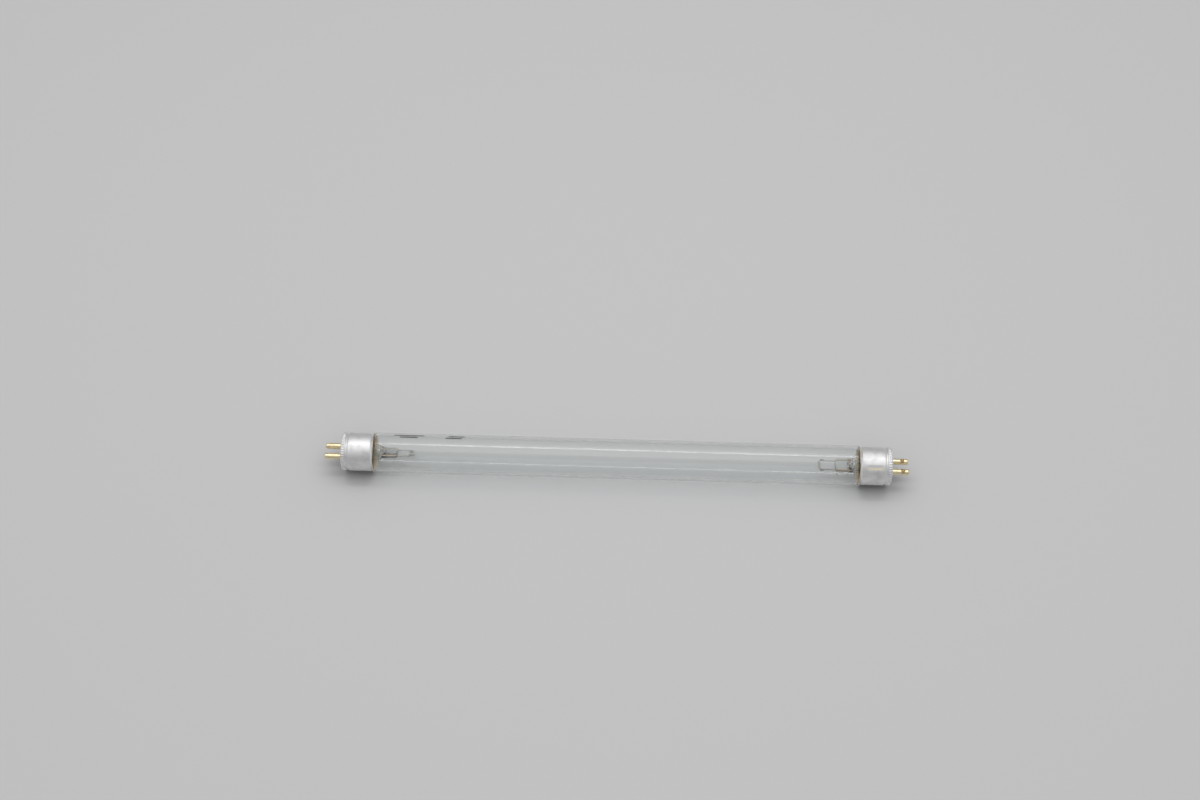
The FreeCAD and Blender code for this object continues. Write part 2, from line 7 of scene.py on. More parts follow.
# %% Load the frame
import math

import bmesh
import bpy
from mathutils import Matrix, Vector, noise


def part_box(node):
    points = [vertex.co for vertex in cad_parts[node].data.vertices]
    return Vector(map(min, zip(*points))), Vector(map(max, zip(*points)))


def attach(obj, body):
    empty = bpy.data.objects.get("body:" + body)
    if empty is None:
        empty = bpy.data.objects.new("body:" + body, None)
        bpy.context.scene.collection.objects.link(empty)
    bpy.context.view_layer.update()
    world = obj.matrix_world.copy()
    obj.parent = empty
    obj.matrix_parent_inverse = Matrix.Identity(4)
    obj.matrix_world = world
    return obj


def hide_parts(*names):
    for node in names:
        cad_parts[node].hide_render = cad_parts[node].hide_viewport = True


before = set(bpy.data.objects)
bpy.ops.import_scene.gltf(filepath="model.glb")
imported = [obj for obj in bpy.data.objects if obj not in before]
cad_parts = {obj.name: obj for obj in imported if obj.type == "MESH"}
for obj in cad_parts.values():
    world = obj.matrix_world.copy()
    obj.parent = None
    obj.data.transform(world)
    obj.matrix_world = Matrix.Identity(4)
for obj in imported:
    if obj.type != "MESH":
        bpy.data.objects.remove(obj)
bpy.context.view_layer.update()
scene = bpy.context.scene
print("nodes in the frame:", len(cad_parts))

# %% [markdown]
# The lamp's own lengths are in millimetres and are measured at one end, from the face of its base
# inwards, because that is how a lamp maker gives them. They could be metres all along, but so many noughts
# are hard to read, so a piece is scaled to metres only when it is put in its place. The main sizes are
# read from the frame, and the smaller ones stand beside the piece that has them. The right end is the
# left end turned by half a turn about the Y axis, which crosses the lamp's middle.

# %% Shared sizes
MM = 0.001
FULL_TURN = 2 * math.pi
ENDS = ("left", "right")
ROWS = {"front": -1, "rear": 1}
STEM_ROLL = {"left": math.radians(-24), "right": 0.0}


def millimetres(metres):
    return round(metres / MM, 3)


cap_low, cap_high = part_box("end_cap_left")
pin_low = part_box("contact_pin_left_front")[0]
tube_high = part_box("glass_tube")[1]
HALF_SPAN = millimetres(-cap_low[0])
SPAN = 2 * HALF_SPAN
CAP_LENGTH = millimetres(cap_high[0] - cap_low[0])
LIP_R = millimetres(cap_high[2])
TUBE_R = millimetres(tube_high[2])
PIN_LENGTH = millimetres(cap_low[0] - pin_low[0])
print("between base faces:", SPAN, "mm, tube radius", TUBE_R, "mm, pins", PIN_LENGTH, "mm")

# %% [markdown]
# The camera stands where the photo was taken from: in front of the lamp, high up, looking down. The
# lamp lies a little right of and below the middle of the picture. A lens shift could frame it that way, but
# a shift would stay on in every other view, so the camera looks past the lamp instead, up and to the left.
# The focal length and distance come from how much smaller the far pins look than the near ones.

# %% Camera
PHOTO_WIDTH = 1200
SENSOR_WIDTH = 36
FOCAL_PIXELS = 1640
LAMP_RIGHT = 16.7
LAMP_BELOW = 58.7
CAMERA_TURN = math.radians(0.94)
CAMERA_RISE = math.radians(56.0)
CAMERA_DISTANCE = 0.636

lens = bpy.data.cameras.new("photo_camera")
lens.sensor_width = SENSOR_WIDTH
lens.lens = FOCAL_PIXELS * SENSOR_WIDTH / PHOTO_WIDTH
camera = bpy.data.objects.new("photo_camera", lens)
scene.collection.objects.link(camera)
towards = Vector((
    math.sin(CAMERA_TURN) * math.cos(CAMERA_RISE),
    -math.cos(CAMERA_TURN) * math.cos(CAMERA_RISE),
    math.sin(CAMERA_RISE),
))
sideways = Vector((math.cos(CAMERA_TURN), math.sin(CAMERA_TURN), 0))
upwards = towards.cross(sideways)
looked_at = (upwards * LAMP_BELOW - sideways * LAMP_RIGHT) * (CAMERA_DISTANCE / FOCAL_PIXELS)
camera.location = towards * CAMERA_DISTANCE
camera.rotation_mode = "QUATERNION"
camera.rotation_quaternion = (looked_at - camera.location).to_track_quat("-Z", "Y")
scene.camera = camera
scene.view_settings.view_transform = "Standard"
print("camera at", [round(c, 3) for c in camera.location])

# %% [markdown]
# A finish is a tree of nodes. Added one by one, even a short sum takes many lines, and plain sums are much
# easier to read. This small class holds one socket: a sum on it adds Math nodes, and its method add makes
# any other node, with the node's settings first and then its sockets.

# %% Shader sums
class Signal:
    """One output of a material's nodes; arithmetic on it adds Math nodes."""

    def __init__(self, tree, socket=None):
        self.tree = tree
        self.socket = socket

    def add(self, kind, settings=None, sockets=None, out=0):
        """Adds a node, links or sets its sockets, and returns one of its outputs."""
        node = self.tree.nodes.new(kind)
        for key, value in (settings or {}).items():
            setattr(node, key, value)
        for key, value in (sockets or {}).items():
            if isinstance(value, Signal):
                self.tree.links.new(value.socket, node.inputs[key])
            else:
                node.inputs[key].default_value = value
        return Signal(self.tree, node.outputs[out] if node.outputs else None)

    def calculate(self, operation, *parts):
        return self.add("ShaderNodeMath", {"operation": operation}, dict(enumerate(parts)))

    def __add__(self, other):
        return self.calculate("ADD", self, other)

    def __radd__(self, other):
        return self.calculate("ADD", other, self)

    def __sub__(self, other):
        return self.calculate("SUBTRACT", self, other)

    def __rsub__(self, other):
        return self.calculate("SUBTRACT", other, self)

    def __mul__(self, other):
        return self.calculate("MULTIPLY", self, other)

    def __rmul__(self, other):
        return self.calculate("MULTIPLY", other, self)

    def __abs__(self):
        return self.calculate("ABSOLUTE", self)


print("sums ready")

# %% [markdown]
# A pattern could follow Generated coordinates, but those stretch with each piece. Every finish here starts
# from Object coordinates, which are metres in the lamp's own frame, so a pattern keeps its real scale. The
# first helpers give a place on the lamp, a noise that can be stretched, and soft masks.

# %% Patterns and masks
def place_on(start):
    return start.add("ShaderNodeTexCoord", out="Object")


def axis_of(place, out):
    return place.add("ShaderNodeSeparateXYZ", {}, {0: place}, out=out)


def inset_of(place):
    """How far a place lies inwards from the nearer base face, in metres."""
    return HALF_SPAN * MM - abs(axis_of(place, "X"))


def cloud(place, size, stretch=(1, 1, 1), detail=3.0):
    """Noise with features of about that size in millimetres, longer along an axis that is stretched."""
    scale = tuple(1 / (size * MM * s) for s in stretch)
    moved = place.add("ShaderNodeMapping", {}, {"Vector": place, "Scale": scale})
    return place.add("ShaderNodeTexNoise", {}, {"Vector": moved, "Scale": 1.0, "Detail": detail})


def rise(signal, low, high):
    """0 below low, 1 above high, and smooth between."""
    sockets = {"Value": signal, "From Min": low, "From Max": high}
    return signal.add("ShaderNodeMapRange", {"interpolation_type": "SMOOTHSTEP"}, sockets)


def between(signal, low, high, soft):
    """1 between low and high, with soft ends inside them."""
    return rise(signal, low, low + soft) * (1 - rise(signal, high - soft, high))


print("masks ready")

# %% [markdown]
# The other helpers mix two colours, make a surface with an optional bump, and show it. A wrapper round a
# whole finish would hide what differs from one finish to the next, so each finish below spells out its own
# colours and masks.

# %% Finish helpers
def new_finish(name):
    """An empty material and a signal to build it from."""
    finish = bpy.data.materials.new(name)
    finish.use_nodes = True
    finish.node_tree.nodes.clear()
    return finish, Signal(finish.node_tree)


def colours(share, first, second):
    """The first colour where share is 0, and the second where it is 1."""
    return share.add("ShaderNodeMix", {"data_type": "RGBA"}, {0: share, 6: first, 7: second}, out=2)


def shaded(colour, share):
    """A colour times that share, and so a little darker."""
    return tuple(share * c for c in colour[:3]) + (1,)


def surface(start, sockets, height=None, depth=0.01):
    """A Principled surface; height is a bump of that depth in millimetres."""
    if height is not None:
        bump = {"Height": height, "Distance": depth * MM, "Strength": 1.0}
        sockets = {**sockets, "Normal": start.add("ShaderNodeBump", {}, bump)}
    return start.add("ShaderNodeBsdfPrincipled", {}, sockets)


def show(start, shader, **inside):
    start.add("ShaderNodeOutputMaterial", {}, {"Surface": shader, **inside})


print("finish helpers ready")

# %% [markdown]
# The lamp lies on a plain pale table. A small square table would show its edges in a low view, so this one
# is a disc far wider than any view. Real paint is never quite one colour, so a fine faint grain is in it.
# The table, the lights and the camera are measured in metres.

# %% Table
TABLE_COLOUR = (0.65, 0.65, 0.655, 1)
TABLE_GRAIN = 0.985
TABLE_RADIUS = 8.0
TABLE_SEGMENTS = 96
TABLE_GAP = 0.01

bm = bmesh.new()
bmesh.ops.create_circle(bm, cap_ends=True, segments=TABLE_SEGMENTS, radius=TABLE_RADIUS)
bmesh.ops.translate(bm, verts=bm.verts, vec=(0, 0, -(LIP_R + TABLE_GAP) * MM))
table_mesh = bpy.data.meshes.new("pale_table")
bm.to_mesh(table_mesh)
bm.free()
pale_table = bpy.data.objects.new("pale_table", table_mesh)
scene.collection.objects.link(pale_table)

table_finish, start = new_finish("matt_table")
grain = cloud(place_on(start), 0.6, detail=2.0)
table_tone = colours(grain, TABLE_COLOUR, shaded(TABLE_COLOUR, TABLE_GRAIN))
show(start, surface(start, {"Base Color": table_tone, "Roughness": 0.6}))
table_mesh.materials.append(table_finish)
print("table at", round(-(LIP_R + TABLE_GAP), 3), "mm")

# %% [markdown]
# Clear glass shows only what it mirrors and bends. One bare lamp would draw a hard dot on it, so the light
# is soft studio light. A wide soft box overhead lights everything evenly, and one long strip a little
# behind it draws the two bright lines that make clear glass readable: one from the front of the tube and
# one from the hollow back of it.

# %% Lights
def soft_light(name, wide, deep, power, back, high):
    """A rectangular soft light above the lamp, turned to face it."""
    light = bpy.data.lights.new(name, "AREA")
    light.shape = "RECTANGLE"
    light.size = wide
    light.size_y = deep
    light.energy = power
    holder = bpy.data.objects.new(name, light)
    scene.collection.objects.link(holder)
    holder.location = (0, back, high)
    holder.rotation_euler = (-math.atan2(back, high), 0, 0)


soft_light("soft_box", wide=1.5, deep=1.1, power=3.7, back=0.12, high=1.05)
soft_light("strip", wide=0.9, deep=0.045, power=0.65, back=0.27, high=0.75)

# %% [markdown]
# A room of one even grey would leave the glass without edges. So the world is dimmer near the horizon,
# which gives the glass darker edges, and paler beyond the lamp's two ends, so that the flared lips of the
# caps have something bright to mirror. Light that glass focuses into bright spots takes very long to
# render cleanly and is left off, and light may pass through many walls of glass before it is given up.

# %% World
HORIZON = (0.18, 0.18, 0.185, 1)
ZENITH = (0.6, 0.6, 0.6, 1)
BEYOND_ENDS = (0.72, 0.72, 0.72, 1)

world = bpy.data.worlds.new("studio")
scene.world = world
world.use_nodes = True
world.node_tree.nodes.clear()
start = Signal(world.node_tree)
direction = start.add("ShaderNodeTexCoord", out="Generated")
sky = colours(rise(axis_of(direction, "Z"), 0.0, 0.9), HORIZON, ZENITH)
sky = colours(rise(abs(axis_of(direction, "X")), 0.75, 0.97), sky, BEYOND_ENDS)
sky = start.add("ShaderNodeBackground", {}, {"Color": sky, "Strength": 1.0})
start.add("ShaderNodeOutputWorld", {}, {"Surface": sky})
scene.cycles.caustics_reflective = False
scene.cycles.caustics_refractive = False
scene.cycles.max_bounces = 24
scene.cycles.transmission_bounces = 24
scene.cycles.transparent_max_bounces = 32
print("world:", world.name)

# %% [markdown]
# Most of a tube lamp is turned or drawn round one axis, so most pieces start as an outline that is spun. An
# outline could be a list of many points on its curves. It is shorter and easier to change as a few corners,
# each with how far its rounding reaches along its two edges, because a vertex bevel then makes the curves.

# %% Turned pieces
ROUND_SEGMENTS = 8
MERGE = 1e-4


def draw_outline(bm, corners, closed=True, segments=ROUND_SEGMENTS):
    """A wire of corners (along, out[, reach]) in the plane above the axis, with rounded corners."""
    verts = [bm.verts.new((corner[0], 0, corner[1])) for corner in corners]
    for first, second in zip(verts, verts[1:] + verts[:1] if closed else verts[1:]):
        bm.edges.new((first, second))
    for vert, corner in zip(verts, corners):
        if len(corner) > 2:
            bmesh.ops.bevel(bm, geom=[vert], offset=corner[2], segments=segments, profile=0.5,
                affect="VERTICES", material=-1)
    bmesh.ops.remove_doubles(bm, verts=bm.verts, dist=MERGE)


def spin_outline(bm, steps):
    """Turns the outline once round the lamp's axis and closes the seam and the poles."""
    bmesh.ops.spin(bm, geom=bm.verts[:] + bm.edges[:], cent=(0, 0, 0), axis=(1, 0, 0), angle=FULL_TURN,
        steps=steps, use_merge=True)
    bmesh.ops.remove_doubles(bm, verts=bm.verts, dist=MERGE)
    bmesh.ops.recalc_face_normals(bm, faces=bm.faces)


def out_from_axis(co):
    return math.hypot(co.y, co.z)


def move_out(vert, out):
    """Moves a vertex straight towards the axis or away from it, to that distance."""
    share = out / out_from_axis(vert.co)
    vert.co.y *= share
    vert.co.z *= share


print("turning tools ready")

# %% [markdown]
# Each piece is drawn at one end of the lamp, as on a maker's bench, and has to end up in the frame. Moving
# its object there would leave a place in the object and slide its patterns, so the mesh itself is rolled,
# moved, turned to its end and scaled. Then the piece rides on the lamp's body and stands for its CAD node.

# %% Putting a piece in place
def put(bm, name, finish, nodes=(), end="left", roll=0.0, sharp=35):
    """Moves a piece that is drawn at one end into its place, and joins it to the frame."""
    bmesh.ops.rotate(bm, verts=bm.verts, cent=(0, 0, 0), matrix=Matrix.Rotation(roll, 3, "X"))
    bmesh.ops.translate(bm, verts=bm.verts, vec=(-HALF_SPAN, 0, 0))
    if end == "right":
        bmesh.ops.rotate(bm, verts=bm.verts, cent=(0, 0, 0), matrix=Matrix.Rotation(math.pi, 3, "Y"))
    bmesh.ops.scale(bm, verts=bm.verts, vec=(MM, MM, MM))
    mesh = bpy.data.meshes.new(name)
    bm.to_mesh(mesh)
    bm.free()
    mesh.shade_smooth()
    mesh.set_sharp_from_angle(angle=math.radians(sharp))
    mesh.materials.append(finish)
    piece = bpy.data.objects.new(name, mesh)
    scene.collection.objects.link(piece)
    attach(piece, "root")
    if nodes:
        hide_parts(*nodes)
    mesh.calc_loop_triangles()
    print(name, len(mesh.loop_triangles), "triangles")


print("ready to put pieces in place")

# %% [markdown]
# The tube is drawn from clear glass that lets ultraviolet light out. Drawing leaves faint lines along it,
# and handling leaves a little dust and a few smears. A glass that blocks lamp light would throw a black
# shadow and keep what is behind it dark, so for shadow rays and bounced light the finish turns into plain
# tinted air. The glass also absorbs a little light along its depth, which is why the tube's edges look
# darker than its middle.

# %% Clear glass
GLASS_IOR = 1.49
GLASS_DENSITY = 80.0
SMEAR_SHADE = 0.99


def make_glass(name, tint, air_tint, depth_tint, ripple_size, ripple_stretch, ripple_depth):
    """Clear glass with faint ripples, dust and smears, that lets lamp light through."""
    finish, start = new_finish(name)
    place = place_on(start)
    ripple = cloud(place, ripple_size, ripple_stretch, detail=1.0)
    smear = rise(cloud(place, 9.0, (2.5, 1, 1), detail=4.0), 0.5, 0.8)
    dust = rise(cloud(place, 0.35, detail=2.0), 0.7, 0.8)
    sockets = {
        "Base Color": colours(smear, tint, shaded(tint, SMEAR_SHADE)),
        "Roughness": 0.012 + smear * 0.03 + dust * 0.12,
        "IOR": GLASS_IOR,
        "Transmission Weight": 1.0,
    }
    glass = surface(start, sockets, ripple, ripple_depth)
    tinted_air = start.add("ShaderNodeBsdfTransparent", {}, {"Color": air_tint})
    for ray in ("Is Diffuse Ray", "Is Shadow Ray"):
        passing = start.add("ShaderNodeLightPath", out=ray)
        glass = start.add("ShaderNodeMixShader", {}, {0: passing, 1: glass, 2: tinted_air})
    absorbed = {"Color": depth_tint, "Density": GLASS_DENSITY}
    show(start, glass, Volume=start.add("ShaderNodeVolumeAbsorption", {}, absorbed))
    return finish


tube_finish = make_glass(
    "clear_tube_glass",
    tint=(0.985, 0.992, 0.99, 1), air_tint=(0.96, 0.965, 0.965, 1), depth_tint=(0.5, 0.535, 0.53, 1),
    ripple_size=1.6, ripple_stretch=(60, 1, 1), ripple_depth=0.0008,
)
stem_finish = make_glass(
    "stem_glass_finish",
    tint=(0.965, 0.978, 0.97, 1), air_tint=(0.96, 0.965, 0.96, 1), depth_tint=(0.46, 0.51, 0.5, 1),
    ripple_size=0.9, ripple_stretch=(3, 1, 1), ripple_depth=0.02,
)
print("glass finishes:", tube_finish.name, stem_finish.name)

# %% [markdown]
# The glass tube is one wall all the way round: at each end it steps in through a smooth shoulder to a neck,
# where the cap is cemented on. A scaled cylinder would lose the even wall, so the wall's outline is drawn
# once and spun. The shoulder is two bends of one radius that meet halfway, and inside the wall each bend is
# wider or tighter by the wall's thickness.

# %% Glass tube
TUBE_STEPS = 224
WALL = 0.8
NECK_R = 6.3
NECK_FROM = 5.0
NECK_EDGE = 0.4
SHOULDER_FROM = 11.0
SHOULDER_TO = 13.4
KEEP_APART = 0.995

shoulder_run = SHOULDER_TO - SHOULDER_FROM
shoulder_rise = TUBE_R - NECK_R
BEND = (shoulder_run ** 2 + shoulder_rise ** 2) / (4 * shoulder_rise)
BEND_ANGLE = math.asin(shoulder_run / 2 / BEND)


def bend_corner(along, out, bend, way):
    """The corner of a bend that touches a straight wall at that place and leaves it that way."""
    reach = bend * math.tan(BEND_ANGLE / 2)
    return along + way * reach, out, KEEP_APART * reach


def far_end(corners):
    """The same corners at the other end of the tube, in the order that carries the outline on."""
    return [(SPAN - along, *rest) for along, *rest in reversed(corners)]


outside = [
    (NECK_FROM, NECK_R - WALL), (NECK_FROM, NECK_R, NECK_EDGE),
    bend_corner(SHOULDER_FROM, NECK_R, BEND, 1), bend_corner(SHOULDER_TO, TUBE_R, BEND, -1),
]
inside = [
    bend_corner(SHOULDER_TO, TUBE_R - WALL, BEND - WALL, -1),
    bend_corner(SHOULDER_FROM, NECK_R - WALL, BEND + WALL, 1),
]
bm = bmesh.new()
draw_outline(bm, outside + far_end(outside) + far_end(inside) + inside)
spin_outline(bm, TUBE_STEPS)
put(bm, "tube_glass", tube_finish, ["glass_tube"])

# %% [markdown]
# The right cap has a shallow dent along its front, with a yellowish mark in it. A mark could be painted on
# an unwrapped map. A mask from three distances needs no map and keeps its real size: along the cap, round
# it, and out towards the front.

# %% Yellowish mark in the dent
DENT_FROM = 3.2
DENT_TO = 10.2
DENT_FRONT = math.radians(39)
MARK_DOWN = 0.5
MARK_HALF = 0.62
MARK_CORE = 0.4
MARK_SOFT = 0.6


def dent_mark(place):
    """1 in the yellowish mark on the right cap, and 0 elsewhere."""
    across = axis_of(place, "Y")
    up = axis_of(place, "Z")
    facing = up * math.cos(DENT_FRONT) - across * math.sin(DENT_FRONT)
    aside = across * math.cos(DENT_FRONT) + up * math.sin(DENT_FRONT) + MARK_DOWN * MM
    low, high = (HALF_SPAN - DENT_TO) * MM, (HALF_SPAN - DENT_FROM) * MM
    lengthwise = between(axis_of(place, "X"), low, high, MARK_SOFT * MM)
    crosswise = 1 - rise(abs(aside), MARK_CORE * MARK_HALF * MM, MARK_HALF * MM)
    blots = rise(cloud(place, 0.8, (3, 1, 1)), 0.25, 0.5)
    return lengthwise * crosswise * rise(facing, 5 * MM, 6 * MM) * blots


print("stain between", DENT_FROM, "and", DENT_TO, "mm from the right base face")

# %% [markdown]
# The caps are drawn from soft aluminium sheet and left satin. The drawing tool leaves fine rings round
# them, the press leaves a few lengthwise scuffs, fingers leave duller patches, and the flared lip is rubbed
# bright. Rings this fine would take millions of faces, so they are in the roughness and in a bump.

# %% Satin aluminium
BRIGHT_ALUMINIUM = (0.86, 0.86, 0.865, 1)
DULL_ALUMINIUM = (0.74, 0.74, 0.745, 1)
SCUFFED_ALUMINIUM = (0.9, 0.9, 0.9, 1)
YELLOW_MARK = (0.88, 0.79, 0.56, 1)
RUBBED_ALUMINIUM = (0.93, 0.93, 0.935, 1)
RUBBED_FROM = 11.5
RUBBED_FULL = 11.75

cap_finish, start = new_finish("satin_aluminium")
place = place_on(start)
rubbed_lip = rise(inset_of(place), RUBBED_FROM * MM, RUBBED_FULL * MM)
rings = cloud(place, 0.07, (1, 40, 40), detail=2.0)
scuffs = rise(cloud(place, 0.25, (14, 1, 1), detail=2.0), 0.62, 0.78)
patches = rise(cloud(place, 3.2, detail=4.0), 0.42, 0.72)
cap_tone = colours(patches, BRIGHT_ALUMINIUM, DULL_ALUMINIUM)
cap_tone = colours(scuffs * 0.5, cap_tone, SCUFFED_ALUMINIUM)
# The right cap is painted yellowish along the lower side of its dent.
cap_tone = colours(dent_mark(place) * 0.75, cap_tone, YELLOW_MARK)
cap_tone = colours(rubbed_lip * 0.7, cap_tone, RUBBED_ALUMINIUM)
cap_sockets = {
    "Base Color": cap_tone,
    "Metallic": 1.0,
    "Roughness": 0.48 + patches * 0.1 + rings * 0.08 - scuffs * 0.08 - rubbed_lip * 0.26,
}
show(start, surface(start, cap_sockets, rings * 0.7 + scuffs * 0.3, 0.006))
print("finish:", cap_finish.name)

# %% [markdown]
# Each cap has a lip flared out over the tube, a groove that stops the insulating disc, and a rim turned in
# over the disc. It is one sheet of even thickness, so the outline runs along its outside and comes back
# along its inside, and is then spun. Closely spaced corners go where the rim's notches and the dent are
# pressed in afterwards, because a press needs vertices to move.

# %% Cap outline
SHEET = 0.3
CAP_R = 7.35
RIM_IN_R = 5.7
RIM_ROUND = 0.65
GROOVE_AT = 2.24
GROOVE_HALF = 0.55
GROOVE_R = 6.78
LIP_FROM = 11.55
NOTCH_END = 1.4
NOTCH_ROWS = (0.8, 1.0, 1.2, 1.3, NOTCH_END)
DENT_ROWS = 16

flare = (LIP_R - CAP_R) / (CAP_LENGTH - LIP_FROM)
CAP_IN_R = CAP_R - SHEET
LIP_IN_R = LIP_R - SHEET * math.hypot(1, flare)
LIP_IN_FROM = CAP_LENGTH - (LIP_IN_R - CAP_IN_R) / flare

notch_rows = [(along, CAP_R) for along in NOTCH_ROWS]
dent_rows = [(DENT_FROM + (DENT_TO - DENT_FROM) * i / DENT_ROWS, CAP_R) for i in range(DENT_ROWS + 1)]
cap_outside = [
    (0.0, RIM_IN_R, 0.1), (0.0, CAP_R, RIM_ROUND), *notch_rows, (GROOVE_AT - GROOVE_HALF, CAP_R, 0.14),
    (GROOVE_AT, GROOVE_R, 0.6), (GROOVE_AT + GROOVE_HALF, CAP_R, 0.14), *dent_rows,
    (LIP_FROM, CAP_R, 0.25), (CAP_LENGTH, LIP_R, 0.05), (CAP_LENGTH, LIP_IN_R, 0.05),
]
cap_inside = [
    (LIP_IN_FROM, CAP_IN_R, 0.2), (GROOVE_AT + GROOVE_HALF, CAP_IN_R), (GROOVE_AT, GROOVE_R - SHEET, 0.6),
    (GROOVE_AT - GROOVE_HALF, CAP_IN_R), (SHEET, CAP_IN_R, 0.35), (SHEET, RIM_IN_R, 0.1),
]
print("cap outline:", len(cap_outside + cap_inside), "corners, lip radius", LIP_R, "mm")

# %% [markdown]
# The rim is knurled with 48 notches. Each could be cut out with a boolean, but that leaves ragged faces. So
# the shell is spun with eight columns of faces to each notch, and the vertices that a round cutter would
# reach are pushed in to its surface. The dent in the right cap is pushed in the same way. A piece of the
# right end is drawn upside down, because half a turn takes it there.

# %% End caps
CAP_STEPS = 384
CAP_SEGMENTS = 6
NOTCHES = 48
NOTCH_AXIS_R = 7.48
NOTCH_R = 0.3
NOTCH_FADE = 0.2
NOTCH_SKIN = 0.25
DENT_HALF = math.radians(9.5)
DENT_DEPTH = 0.14
DENT_FADE = 1.2
DENT_SKIN = 0.05


def press_notches(bm):
    """Pushes the rim's skin in to a ring of round notches along the axis."""
    pitch = FULL_TURN / NOTCHES
    for vert in bm.verts:
        out = out_from_axis(vert.co)
        angle = math.atan2(vert.co.y, vert.co.z)
        aside = out * (angle - pitch * round(angle / pitch))
        if vert.co.x > NOTCH_END + NOTCH_FADE or out < CAP_R - NOTCH_SKIN or abs(aside) >= NOTCH_R:
            continue
        notch_floor = NOTCH_AXIS_R - math.sqrt(NOTCH_R ** 2 - aside ** 2)
        fade = min(1.0, max(0.0, (NOTCH_END + NOTCH_FADE / 2 - vert.co.x) / NOTCH_FADE))
        move_out(vert, min(out, out + (notch_floor - out) * fade))


def press_dent(bm):
    """Pushes a shallow dent into the wall, along the cap."""
    for vert in bm.verts:
        out = out_from_axis(vert.co)
        off_middle = (math.atan2(vert.co.y, vert.co.z) - DENT_FRONT + math.pi) / DENT_HALF
        from_end = min(vert.co.x - DENT_FROM, DENT_TO - vert.co.x) / DENT_FADE
        if out < CAP_R - DENT_SKIN or abs(off_middle) >= 1 or from_end <= 0:
            continue
        crosswise = (1 - off_middle ** 2) ** 2
        lengthwise = math.sin(min(1.0, from_end) * math.pi / 2) ** 2
        move_out(vert, out - DENT_DEPTH * crosswise * lengthwise)


for end in ENDS:
    bm = bmesh.new()
    draw_outline(bm, cap_outside + cap_inside, segments=CAP_SEGMENTS)
    spin_outline(bm, CAP_STEPS)
    press_notches(bm)
    if end == "right":
        press_dent(bm)
    put(bm, f"cap_shell_{end}", cap_finish, [f"end_cap_{end}"], end)

# %% [markdown]
# The pins are plain brass, a little dulled, with fine marks along them from drawing. Their tips are rubbed
# bright, and the crimp is painted dark brown as painted shade in its hollow. Each pin could have a finish
# of its own, but one finish finds both places by itself: a tip by its distance from the lamp's middle, and
# a crimp by its distance from the tip and the side of the pin that it is on.

# %% Dulled brass
CLEAN_BRASS = (0.92, 0.81, 0.54, 1)
TARNISHED_BRASS = (0.78, 0.64, 0.37, 1)
RUBBED_BRASS = (0.94, 0.85, 0.62, 1)
PAINTED_CRIMP_SHADE = (0.34, 0.23, 0.1, 1)
CRIMP_FROM_TIP = 2.5

pin_finish, start = new_finish("dulled_brass")
place = place_on(start)
drawn = cloud(place, 0.08, (18, 1, 1), detail=2.0)
tarnish = rise(cloud(place, 0.9, (1.6, 1, 1), detail=4.0), 0.45, 0.72)
from_tip = inset_of(place) + PIN_LENGTH * MM
tip_wear = 1 - rise(from_tip, 0.3 * MM, 1.6 * MM)
off_crimp = abs(from_tip - CRIMP_FROM_TIP * MM)
crimped_side = axis_of(place, "X") * axis_of(place, "Z") * (1 / (HALF_SPAN * MM))
in_crimp = rise(crimped_side, 0.55 * MM, 0.75 * MM) * (1 - rise(off_crimp, 0.45 * MM, 0.85 * MM))
pin_tone = colours(tarnish, CLEAN_BRASS, TARNISHED_BRASS)
pin_tone = colours(tip_wear * 0.6, pin_tone, RUBBED_BRASS)
# Painted shade: the crimp's hollow is coloured dark brown.
pin_tone = colours(in_crimp * 0.75, pin_tone, PAINTED_CRIMP_SHADE)
pin_sockets = {
    "Base Color": pin_tone,
    "Metallic": 1.0,
    "Roughness": 0.25 + tarnish * 0.18 + drawn * 0.08 - tip_wear * 0.06 + in_crimp * 0.15,
}
show(start, surface(start, pin_sockets, drawn, 0.008))
print("finish:", pin_finish.name)

# %% [markdown]
# A pin is turned brass: a rounded tip, a shoulder that rests on the disc, a neck through the disc and a
# flange riveted over behind it. Near the tip a round punch crimps it. A boolean with a ball would leave a
# sharp ragged edge, so the wall gets closely spaced rings there before it is spun, and the vertices inside
# the punch move onto it.

# %% Contact pins
PIN_STEPS = 96
PIN_OFFSET = 2.375
PIN_R = 1.175
PIN_TIP_ROUND = 0.74
DISC_FROM = 0.3
DISC_TO = 1.74
PIN_NECK_R = 0.975
FLANGE_R = 1.625
FLANGE_TO = 2.24
PIN_BORE_R = 0.27
PIN_BORE_FROM = 0.4
CRIMP_R = 0.95
CRIMP_OUT = 1.705
CRIMP_ROWS = 26
CRIMP_SOFTEN = 0.35


def press_crimp(bm):
    """Moves the vertices that a ball punch reaches onto the ball, and softens the edge of the mark."""
    centre = Vector((CRIMP_FROM_TIP - PIN_LENGTH, 0, -CRIMP_OUT))
    marked = [vert for vert in bm.verts if (vert.co - centre).length < CRIMP_R]
    for vert in marked:
        vert.co = centre + (vert.co - centre).normalized() * CRIMP_R
    bmesh.ops.smooth_vert(bm, verts=marked, factor=CRIMP_SOFTEN,
        use_axis_x=True, use_axis_y=True, use_axis_z=True)


def turn_pin(bm):
    tip = -PIN_LENGTH
    first, last = tip + CRIMP_FROM_TIP - CRIMP_R, tip + CRIMP_FROM_TIP + CRIMP_R
    rows = [(first + (last - first) * i / CRIMP_ROWS, PIN_R) for i in range(CRIMP_ROWS + 1)]
    draw_outline(bm, [
        (tip, 0.0), (tip, PIN_R, PIN_TIP_ROUND), *rows, (DISC_FROM, PIN_R, 0.04), (DISC_FROM, PIN_NECK_R),
        (DISC_TO, PIN_NECK_R), (DISC_TO, FLANGE_R, 0.1), (FLANGE_TO, FLANGE_R, 0.15),
        (FLANGE_TO, PIN_BORE_R), (PIN_BORE_FROM, PIN_BORE_R), (PIN_BORE_FROM, 0.0),
    ], closed=False)
    spin_outline(bm, PIN_STEPS)
    press_crimp(bm)


